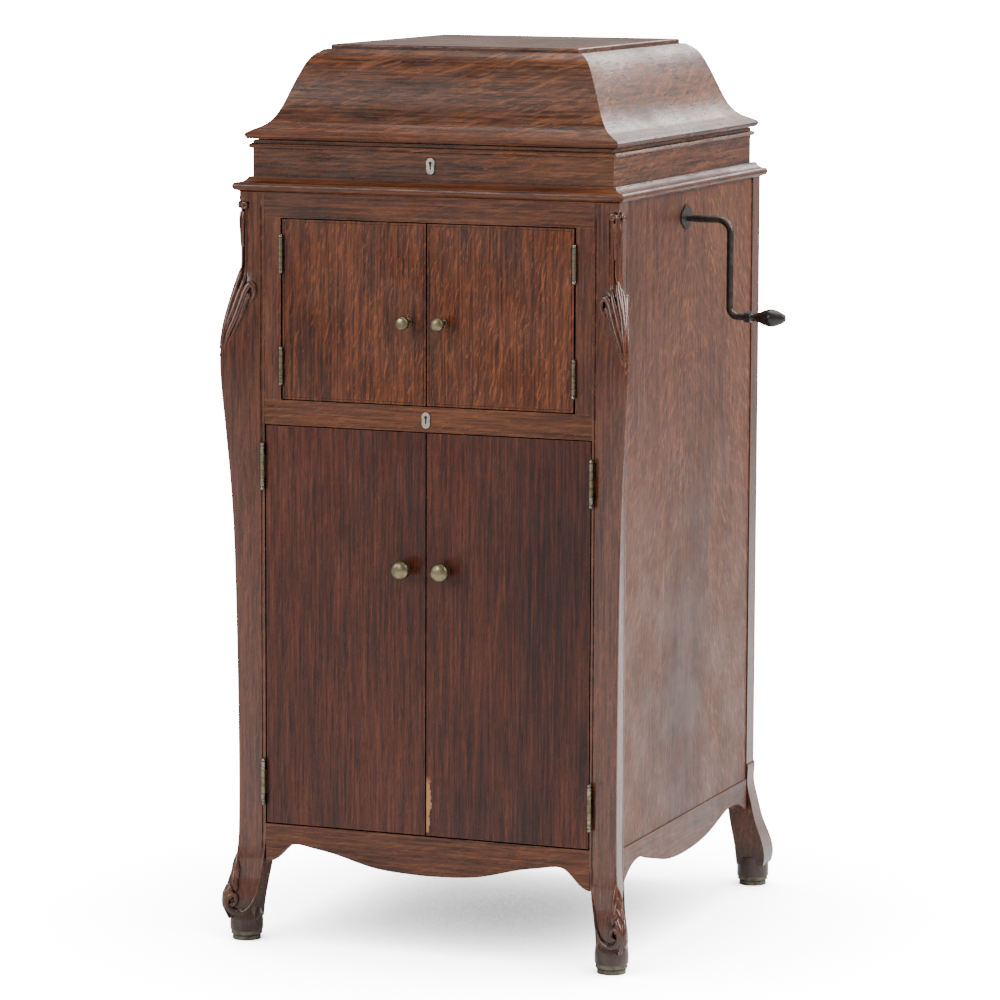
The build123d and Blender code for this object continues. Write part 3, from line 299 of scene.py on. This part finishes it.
finishes = {
    "post": oak("oak_post", "Z", **POLISHED, flake=0.2, flake_tilt=10, wear=1.0, rough=0.2, seed=3.1,
                coat=0.5),
    "side": oak("oak_side", "Z", **GREYED, flake=0.6, flake_tilt=-36, flake_centre=side_middle,
                shine=1.9, wear=0.5, rough=0.34, seed=7.7),
    "rail": oak("oak_rail", "X", **WORN, flake=0.2, flake_tilt=14, wear=0.8, seed=1.9),
    "side_rail": oak("oak_side_rail", "Y", **WORN, flake=0.2, flake_tilt=14, wear=0.95, seed=5.3),
    "upper_door": oak("oak_upper_door", "Z", **BROWN, flake=0.45, flake_tilt=12, wear=0.5, seed=2.3),
    "lower_door": oak("oak_lower_door", "Z", **MAROON, flake=0.16, flake_tilt=8, wear=0.5, seed=4.9),
    "chipped_door": oak("oak_chipped_door", "Z", **MAROON, flake=0.16, flake_tilt=8, wear=0.5, seed=6.1,
                        chips=True),
    "lid": oak("oak_lid", "X", **UMBER, flake=0.75, flake_tilt=17, flake_size=2.0, shine=1.15, wear=0.7,
               rough=0.27, seed=8.3, mitred=True),
    "rim": oak("oak_rim", "X", **UMBER, flake=0.45, flake_tilt=11, flake_size=1.3, shine=1.2, wear=0.9,
               rough=0.27, seed=4.4, mitred=True),
    "moulding": oak("oak_moulding", "X", **WORN, flake=0.12, flake_tilt=8, wear=1.0, seed=9.1, mitred=True),
    "inner": oak("oak_inner", "X", **BROWN, flake=0.2, flake_tilt=60, wear=0.3, rough=0.5, seed=0.4),
    "brass": metal("old_brass", (0.23, 0.19, 0.115), (0.09, 0.075, 0.04), 0.3, 0.7),
    "nickel": metal("nickel", (0.68, 0.66, 0.61), (0.42, 0.37, 0.28), 0.28, 0.35),
    "hinge": metal("hinge_metal", (0.30, 0.26, 0.20), (0.06, 0.045, 0.03), 0.2, 0.8),
    "plate": metal("keyhole_plate", (0.46, 0.43, 0.37), (0.20, 0.17, 0.12), 0.2, 0.5),
    "glide": metal("glide_metal", (0.13, 0.12, 0.085), (0.06, 0.045, 0.03), 0.4, 0.8, metallic=0.5),
    "iron": metal("black_iron", (0.03, 0.03, 0.03), (0.05, 0.035, 0.02), 0.4, 0.5, metallic=0.4),
    "steel": metal("motor_steel", (0.42, 0.42, 0.40), (0.2, 0.16, 0.1), 0.3, 0.5),
    "crank": metal("crank_steel", (0.045, 0.042, 0.04), (0.09, 0.06, 0.035), 0.32, 0.5, metallic=0.8),
    "grip": metal("black_grip", (0.012, 0.010, 0.009), (0.03, 0.018, 0.012), 0.22, 0.4, metallic=0.0),
    "felt": felt(),
}

nodes_of = {
    "side": ["side_panel_right", "side_panel_left"],
    "post": ["rear_post_right", "rear_post_left", "stiles"],
    "rail": ["front_apron", "back_rail", "top_rail", "middle_rail"],
    "side_rail": ["side_rails"],
    "upper_door": ["upper_door_right", "upper_door_left", "back_panel"],
    "lower_door": ["lower_door_left"],
    "chipped_door": ["lower_door_right"],
    "lid": ["lid_dome", "lid_top"],
    "rim": ["case_rim"],
    "moulding": ["cornice", "lid_frame"],
    "inner": ["bottom_board", "horn_floor", "record_rack", "board_cleats", "motor_board",
              "horn", "louvres"],
    "brass": ["upper_brasses_right", "upper_brasses_left", "lower_brasses_right", "lower_brasses_left"],
    "hinge": ["door_hinges", "lid_hinge_leaves_case", "lid_hinge_leaves_lid"],
    "plate": ["keyhole_escutcheons"],
    "glide": ["foot_glides"],
    "nickel": ["tone_arm_bracket", "tone_arm", "gooseneck", "sound_box", "spindle", "needle_cups",
               "board_fittings", "speed_pointer", "brake_lever", "lid_stay", "turntable_platter"],
    "iron": ["motor_frame", "horn_elbow"],
    "steel": ["spring_barrel", "governor", "winding_gear", "winding_arbor"],
    "crank": ["crank_rod", "crank_escutcheon"],
    "grip": ["crank_grip"],
    "felt": ["turntable_felt"],
}
for finish, nodes in nodes_of.items():
    for node in nodes:
        piece = frame["nodes"][node]
        for slot in piece.material_slots:
            slot.material = finishes[finish]
        if not piece.material_slots:
            piece.data.materials.append(finishes[finish])


# ---- mesh helpers -------------------------------------------------------------------------------
def mesh_object(name, vertices, faces, material, smooth=True):
    """A new object from points and faces, in one material."""
    mesh = bpy.data.meshes.new(name)
    mesh.from_pydata(vertices, [], faces)
    mesh.update()
    made = bpy.data.objects.new(name, mesh)
    bpy.context.scene.collection.objects.link(made)
    mesh.materials.append(material)
    if smooth:
        for polygon in mesh.polygons:
            polygon.use_smooth = True
    return made


def tube_faces(rows, columns, first):
    """Quads over rows of points that each close in a ring, numbered from the first point."""
    faces = []
    for row in range(rows - 1):
        this_row = first + row * columns
        next_row = this_row + columns
        for column in range(columns):
            following = (column + 1) % columns
            faces.append((this_row + column, this_row + following,
                          next_row + following, next_row + column))
    return faces


def disc_face(first, count):
    """One face over a ring of points, facing back along the rows."""
    return tuple(first + k for k in reversed(range(count)))


def add_cord(vertices, faces, points, radii, sides):
    """Round tapering cord through the points, closed at both ends."""
    first = len(vertices)
    normal = None
    for index, point in enumerate(points):
        ahead = points[min(index + 1, len(points) - 1)] - points[max(index - 1, 0)]
        ahead.normalize()
        if normal is None:
            normal = ahead.orthogonal().normalized()
        normal = (normal - ahead * normal.dot(ahead)).normalized()
        across = ahead.cross(normal)
        for side in range(sides):
            turn = 2 * pi * side / sides
            vertices.append(point + radii[index] * (cos(turn) * normal + sin(turn) * across))
    faces.extend(tube_faces(len(points), sides, first))
    faces.append(disc_face(first, sides))
    last = first + (len(points) - 1) * sides
    faces.append(tuple(last + side for side in range(sides)))


PER_SPAN = 8        # points along a smooth path from one corner to the next


def smooth_path(corners):
    """Catmull-Rom points through the corners."""
    points = []
    for index in range(len(corners) - 1):
        a = corners[max(index - 1, 0)]
        b, c = corners[index], corners[index + 1]
        d = corners[min(index + 2, len(corners) - 1)]
        for step in range(PER_SPAN):
            t = step / PER_SPAN
            points.append(0.5 * (2 * b + (c - a) * t + (2 * a - 5 * b + 4 * c - d) * t * t
                                 + (3 * b - 3 * c + d - a) * t**3))
    points.append(corners[-1])
    return points


# ---- carved front posts -------------------------------------------------------------------------
post_low, post_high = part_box("front_post_right")
INNER_X, INNER_Y = post_low[0] / MM, post_high[1] / MM     # the post's inner corner
EDGE, CORNER = 34.5, 35.5       # from the inner corner to the outer edges and to the outer corner
POST_TOP = post_high[2] / MM - 0.1
BODY_BOTTOM = 29.0              # the moulded part ends inside the round ankle
ROW_HEIGHT = 3.0
FOOT_X, FOOT_Y = INNER_X + 30.2, INNER_Y - 30.5            # middle of the ankle
FOOT_SET_BACK = 3.4             # leaves room for the carving on the foot
HOLLOW_DEPTH = 5.2              # of the corner above the knee
CORD_SIDES = 10

# height, outward bulge of the corner, swell of the outer edges, inset of the inner faces
POST = (
    (POST_TOP, 0.0, 0.0, 0.0), (900.0, 0.0, 0.0, 0.0), (857.0, 8.5, 0.0, 0.0), (820.0, 16.2, 0.0, 0.0),
    (790.0, 19.8, 0.0, 0.0), (755.0, 19.3, 0.0, 0.0), (700.0, 15.5, 0.0, 0.0), (600.0, 9.0, 0.0, 0.0),
    (500.0, 5.8, 0.0, 0.0), (300.0, 3.1, 0.0, 0.0), (150.0, 3.2, 0.0, 0.0), (114.0, 5.9, 2.0, 2.0),
    (80.0, 14.0, 7.0, 7.0), (60.0, 19.3, 10.0, 9.8), (45.0, 20.0, 12.0, 11.5), (30.0, 15.6, 12.5, 12.6),
    (12.6, 12.3, 12.3, 13.4),
)


def rising(height, start, run):
    """0 below the start, then rising to 1 over the run; a negative run rises downwards."""
    return min(1.0, max(0.0, (height - start) / run))


def post_sizes(height):
    """Smoothly interpolated bulge, swell and inset of the post at a height."""
    for index in range(len(POST) - 1):
        if POST[index][0] >= height >= POST[index + 1][0]:
            break
    one, two = POST[index], POST[index + 1]
    before, after = POST[max(index - 1, 0)], POST[min(index + 2, len(POST) - 1)]
    span = two[0] - one[0]
    share = (height - one[0]) / span
    sizes = []
    for k in (1, 2, 3):
        slope_one = span * (two[k] - before[k]) / (two[0] - before[0])
        slope_two = span * (after[k] - one[k]) / (after[0] - one[0])
        flat = abs(two[k] - one[k]) < 1e-6
        slope_one, slope_two = (0.0, 0.0) if flat else (slope_one, slope_two)
        sizes.append(
            (2 * share**3 - 3 * share**2 + 1) * one[k] + (share**3 - 2 * share**2 + share) * slope_one
            + (3 * share**2 - 2 * share**3) * two[k] + (share**3 - share**2) * slope_two
        )
    return sizes


def flank_point(height, share, lift, front=True):
    """A point on a flank: share 0 at the inner edge, 1 at the corner; lift is outward, in mm.

    The foot is set back, which keeps its carving near the outline of the plain post.
    """
    bulge, swell, inset = post_sizes(height)
    lift -= FOOT_SET_BACK * rising(height, 110.0, -26.0)
    near = Vector((INNER_X + inset, INNER_Y - EDGE - swell))
    corner = Vector((INNER_X + CORNER + bulge, INNER_Y - CORNER - bulge))
    if not front:
        near = Vector((INNER_X + EDGE + swell, INNER_Y - inset))
    run = corner - near
    normal = Vector((run.y, -run.x)).normalized()
    if not front:
        normal = -normal
    return near + run * share + normal * lift


def flank_outline(height, front):
    """Profile across a flank: bead, quirk and face, with a reed and a corner hollow above the knee."""
    bulge, swell, inset = post_sizes(height)
    width = CORNER + bulge - inset
    below_cornice = rising(height, 992.0, -8.0)
    beaded = below_cornice * rising(height, 112.0, 20.0)
    reeded = below_cornice * rising(height, 884.0, 26.0)
    bead = ((0.0, 0.0), (1.2, 0.0), (2.6, 0.3), (3.4, 1.8), (4.4, 1.8), (5.2, 0.2), (7.0, 0.0))
    reed = (
        (width - 19.0, 0.0), (width - 14.0, 0.2), (width - 13.0, 1.9), (width - 11.6, 2.0),
        (width - 10.6, 0.8), (width - 9.2, 0.3), (width - 7.8, 0.8), (width - 7.0, 2.4),
        (width - 5.6, 4.4), (width - 4.2, HOLLOW_DEPTH),
    )
    rounding = ((width - 2.0, 0.2), (width - 0.7, 0.7))
    steps = [(at, depth * beaded) for at, depth in bead]
    steps += [(at, depth * reeded) for at, depth in reed]
    steps += [(at, HOLLOW_DEPTH * reeded + depth * (1.0 - reeded)) for at, depth in rounding]
    return [flank_point(height, at / width, -depth, front) for at, depth in steps]


def carve(vertices, faces, strokes, side, front):
    """Cords of carving on a flank, given as (height, share, lift, radius) along each stroke."""
    for stroke in strokes:
        corners, radii = [], []
        for height, share, lift, radius in stroke:
            at = flank_point(height, share, lift, front)
            corners.append(Vector((side * at.x, at.y, height)) * MM)
            radii.append(radius * MM)
        points = smooth_path(corners)
        thickness = []
        for index in range(len(points)):
            at = index / PER_SPAN
            low = min(int(at), len(radii) - 2)
            thickness.append(radii[low] + (radii[low + 1] - radii[low]) * (at - low))
        add_cord(vertices, faces, points, thickness, CORD_SIDES)


def spiral(height, share, reach, turns, thickness):
    """A flat volute on the flank, from its rim to its raised eye."""
    flank_width = 40.0
    stroke = []
    count = int(10 * turns) + 1
    for index in range(count):
        t = index / (count - 1)
        distance = reach * (1.0 - 0.86 * t)
        turn = 2 * pi * turns * t
        stroke.append((height + distance * sin(turn), share + distance * cos(turn) / flank_width,
                       1.0 + 2.4 * t, thickness * (1.0 - 0.45 * t)))
    stroke.append((height, share, 3.6, 0.9 * thickness))
    return stroke


# strokes of carving on a flank: (height, share across, lift, radius) along each one
KNEE = (
    [(858, 0.42, 0.4, 1.8), (868, 0.33, 1.6, 3.2), (878, 0.36, 2.2, 4.0), (881, 0.50, 2.4, 4.4),
     (872, 0.62, 2.2, 4.6), (856, 0.69, 2.0, 4.6), (836, 0.77, 1.4, 4.2), (812, 0.88, 0.2, 3.2),
     (786, 0.98, -1.2, 1.6)],
    [(862, 0.44, 1.6, 2.0), (868, 0.49, 2.2, 2.6), (858, 0.55, 1.8, 2.8), (840, 0.63, 1.0, 2.6),
     (818, 0.75, -0.2, 1.8), (796, 0.88, -1.2, 0.8)],
    [(893, 0.72, -0.4, 1.2), (883, 0.74, 1.4, 3.2), (866, 0.81, 1.8, 4.0), (846, 0.87, 1.2, 4.0),
     (822, 0.94, -0.2, 3.0), (796, 1.0, -1.8, 1.4)],
    [(902, 0.93, -2.0, 1.2), (892, 0.93, -0.2, 2.8), (874, 0.96, 0.0, 3.8), (852, 0.99, -0.6, 3.8),
     (828, 1.0, -1.6, 3.0), (802, 1.0, -2.2, 1.4)],
)
TOP = (
    spiral(984, 0.76, 4.6, 1.3, 2.6),
    [(976, 0.80, 0.0, 1.6), (966, 0.82, 0.6, 2.2), (950, 0.83, 0.2, 1.6), (930, 0.83, -0.6, 1.0)],
)
FOOT = (
    [(122, 0.02, -0.4, 1.0), (92, 0.02, 0.0, 1.5), (76, 0.03, 0.3, 1.8), (61, 0.05, 0.6, 2.1),
     (49, 0.13, 1.2, 2.6), (41, 0.28, 1.8, 3.2), (37.5, 0.50, 2.4, 4.0), (40, 0.70, 2.8, 4.4),
     (47, 0.83, 2.8, 4.4), (56, 0.84, 3.0, 4.0), (62, 0.74, 3.2, 3.6), (60, 0.62, 3.2, 3.2),
     (53, 0.58, 3.4, 3.0), (48, 0.65, 3.8, 3.0), (51, 0.72, 4.2, 3.4)],
    [(118, 0.95, -1.6, 1.2), (107, 0.90, 0.2, 3.4), (96, 0.83, 1.4, 4.6), (86, 0.76, 1.2, 4.0),
     (80, 0.73, -0.2, 2.0)],
    [(102, 0.95, -1.8, 2.0), (91, 0.87, 0.6, 4.2), (80, 0.79, 1.8, 5.0), (71, 0.70, 1.8, 4.2),
     (66, 0.66, 0.4, 2.0)],
    [(88, 0.96, -2.4, 2.4), (77, 0.90, 0.0, 4.6), (67, 0.83, 1.6, 5.0), (59, 0.76, 2.2, 4.2),
     (55, 0.73, 1.4, 2.2)],
    [(74, 0.97, -3.4, 2.6), (62, 0.94, -1.8, 4.6), (50, 0.90, -0.8, 4.8), (40, 0.84, -0.4, 3.8),
     (33, 0.77, -0.8, 2.0)],
)


def add_ankle(vertices, faces, side):
    """Round ankle that stands on the glide."""
    sides = 40
    rings = ((12.6, 21.4), (14.0, 22.2), (24.0, 22.4), (34.0, 21.5), (42.0, 19.0))      # height, radius
    first = len(vertices)
    for height, radius in rings:
        for step in range(sides):
            turn = 2 * pi * step / sides
            x = side * FOOT_X + radius * cos(turn)
            y = FOOT_Y + radius * sin(turn)
            vertices.append(Vector((x, y, height)) * MM)
    faces.extend(tube_faces(len(rings), sides, first))
    faces.append(disc_face(first, sides))


def carved_post(side):
    """Front post with moulded flanks, leaf carving on the knee and scrolls at top and foot."""
    vertices, faces = [], []
    rows = int((POST_TOP - BODY_BOTTOM) / ROW_HEIGHT) + 1
    heights = [POST_TOP - ROW_HEIGHT * row for row in range(rows)] + [BODY_BOTTOM]
    for height in heights:
        inset = post_sizes(height)[2]
        outline = flank_outline(height, True) + list(reversed(flank_outline(height, False)))
        outline.append(Vector((INNER_X + inset, INNER_Y - inset)))
        vertices.extend(Vector((side * p.x, p.y, height)) * MM for p in outline)
    columns = len(outline)
    faces.extend(tube_faces(len(heights), columns, 0))
    faces.append(disc_face(0, columns))
    faces.append(tuple((len(heights) - 1) * columns + k for k in range(columns)))
    for strokes in (KNEE, TOP, FOOT):
        for front in (True, False):
            carve(vertices, faces, strokes, side, front)
    add_ankle(vertices, faces, side)
    name = "carved_post_right" if side > 0 else "carved_post_left"
    post = mesh_object(name, vertices, faces, finishes["post"])
    if side < 0:
        post.data.flip_normals()
    post.data.set_sharp_from_angle(angle=radians(48))
    return post


for side, node in ((1, "front_post_right"), (-1, "front_post_left")):
    post = carved_post(side)
    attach(post, "cabinet")
    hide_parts(node)


# ---- hinge knuckle gaps, drawn as dark rings of painted shade ------------------------------------
# right-hand hinge joint, half the distance between its two hinges, length of one
HINGES = (("upper_door_right_hinge", 73.9, 42.0), ("lower_door_right_hinge", 211.9, 54.0))
KNUCKLE_ENDS = (-0.5, -0.3, -0.1, 0.1, 0.3, 0.5)        # as shares of the hinge's length
RING_RADIUS, RING_THICKNESS = 2.75, 0.42
RING_STEPS, RING_SIDES = 24, 6


def add_ring(vertices, faces, x, y, z):
    """A level ring about an upright hinge axis."""
    points = []
    for step in range(RING_STEPS + 1):
        turn = 2 * pi * step / RING_STEPS
        points.append(Vector((x + RING_RADIUS * cos(turn), y + RING_RADIUS * sin(turn), z)) * MM)
    add_cord(vertices, faces, points, [RING_THICKNESS * MM] * len(points), RING_SIDES)


def knuckle_shade_rings():
    """Fine dark rings of painted shade where the hinge knuckles meet and under the ball tips."""
    axes = {joint["name"]: [value / MM for value in joint["pos_m"]] for joint in frame["joints"]}
    vertices, faces = [], []
    for joint, half_spacing, length in HINGES:
        x, y, z = axes[joint]
        for middle in (z - half_spacing, z + half_spacing):
            for share in KNUCKLE_ENDS:
                for side in (-1, 1):
                    add_ring(vertices, faces, side * x, y, middle + share * length)
    return mesh_object("hinge_knuckle_shade_rings", vertices, faces, finishes["iron"])


# dark rings of painted shade in the hinge knuckle gaps
rings = knuckle_shade_rings()
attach(rings, "cabinet")


# ---- floor ----------------------------------------------------------------------------------------
FLOOR_REACH = 12.0
FLOOR_GLOW = 16.0       # brightness seen by the camera, enough to burn out to white
SHADE_REACH = 0.45      # how close to the object the painted shadow starts to dim the glow
SHADE_POWER = 1.7       # how steeply the painted shadow dims it


def studio_floor():
    """Pale floor that glows white to the camera away from the object, with a painted shadow that darkens it
    close to the object.
    """
    graph = Graph("studio_floor")
    floor_tone = graph.noise(graph.coords(), 1.2, 3.0)
    color = graph.mix(floor_tone, rgb(0.86, 0.86, 0.86), rgb(0.9, 0.9, 0.9))
    graph.put(graph.shader.inputs["Base Color"], color)
    graph.shader.inputs["Roughness"].default_value = 0.42
    graph.shader.inputs["Emission Color"].default_value = rgb(1.0, 1.0, 1.0)
    seen = graph.node("ShaderNodeLightPath").outputs["Is Camera Ray"]
    # painted shadow: ambient occlusion dims the floor's glow near the object
    painted_shadow_factor = graph.math("POWER", graph.crevices(SHADE_REACH), SHADE_POWER)
    glow = graph.times(seen, graph.times(painted_shadow_factor, FLOOR_GLOW))
    graph.put(graph.shader.inputs["Emission Strength"], glow)
    corners = [(-FLOOR_REACH, -FLOOR_REACH, 0), (FLOOR_REACH, -FLOOR_REACH, 0),
               (FLOOR_REACH, FLOOR_REACH, 0), (-FLOOR_REACH, FLOOR_REACH, 0)]
    return mesh_object("studio_floor", corners, [(0, 1, 2, 3)], graph.material, smooth=False)


floor = studio_floor()


# ---- light ----------------------------------------------------------------------------------------
def area_light(name, location, target, size, power):
    """Soft rectangular light that faces its target and is not seen itself."""
    light = bpy.data.lights.new(name, "AREA")
    light.shape = "RECTANGLE"
    light.size, light.size_y = size
    light.energy = power
    made = bpy.data.objects.new(name, light)
    made.location = location
    made.rotation_euler = (Vector(location) - Vector(target)).to_track_quat("Z", "Y").to_euler()
    made.visible_camera = False
    bpy.context.scene.collection.objects.link(made)


def studio_world(light_strength, seen_strength):
    """Even white surroundings, brighter to the camera than to the object."""
    world = bpy.data.worlds.new("studio")
    world.use_nodes = True
    tree = world.node_tree
    background = tree.nodes["Background"]
    background.inputs["Color"].default_value = rgb(1.0, 1.0, 1.0)
    path = tree.nodes.new("ShaderNodeLightPath")
    strength = tree.nodes.new("ShaderNodeMapRange")
    strength.inputs["To Min"].default_value = light_strength
    strength.inputs["To Max"].default_value = seen_strength
    tree.links.new(path.outputs["Is Camera Ray"], strength.inputs["Value"])
    tree.links.new(strength.outputs[0], background.inputs["Strength"])
    return world


middle = (0.0, 0.0, 0.6)
area_light("front_left", (-2.2, -4.0, 2.6), middle, (2.4, 2.4), 150)
area_light("window", (3.4, 0.3, 3.0), (0.0, 0.0, 0.8), (2.0, 2.0), 225)
area_light("top", (0.4, 0.6, 4.4), middle, (3.0, 3.0), 120)
area_light("back_window", (0.9, 4.2, 3.0), (0.1, 0.0, 1.1), (2.6, 1.6), 75)
bpy.context.scene.world = studio_world(0.5, 30.0)


# ---- camera ---------------------------------------------------------------------------------------
CAMERA_PLACE = (2.29710, -5.87742, 1.43224)
CAMERA_YAW, CAMERA_PITCH, CAMERA_ROLL = radians(21.448), radians(7.777), radians(0.216)


def studio_camera():
    """Long-lens camera, turned by its yaw, pitch and roll."""
    data = bpy.data.cameras.new("camera")
    data.lens = 168.14
    data.sensor_width = 36.0
    data.clip_end = 100.0
    camera = bpy.data.objects.new("camera", data)
    bpy.context.scene.collection.objects.link(camera)
    back = Vector((sin(CAMERA_YAW) * cos(CAMERA_PITCH), -cos(CAMERA_YAW) * cos(CAMERA_PITCH),
                   sin(CAMERA_PITCH)))
    right = Vector((cos(CAMERA_YAW), sin(CAMERA_YAW), 0.0))
    up = back.cross(right)
    rolled_right = cos(CAMERA_ROLL) * right + sin(CAMERA_ROLL) * up
    rolled_up = cos(CAMERA_ROLL) * up - sin(CAMERA_ROLL) * right
    rotation = Matrix((rolled_right, rolled_up, back)).transposed().to_4x4()
    camera.matrix_world = Matrix.Translation(Vector(CAMERA_PLACE)) @ rotation
    return camera


bpy.context.scene.camera = studio_camera()
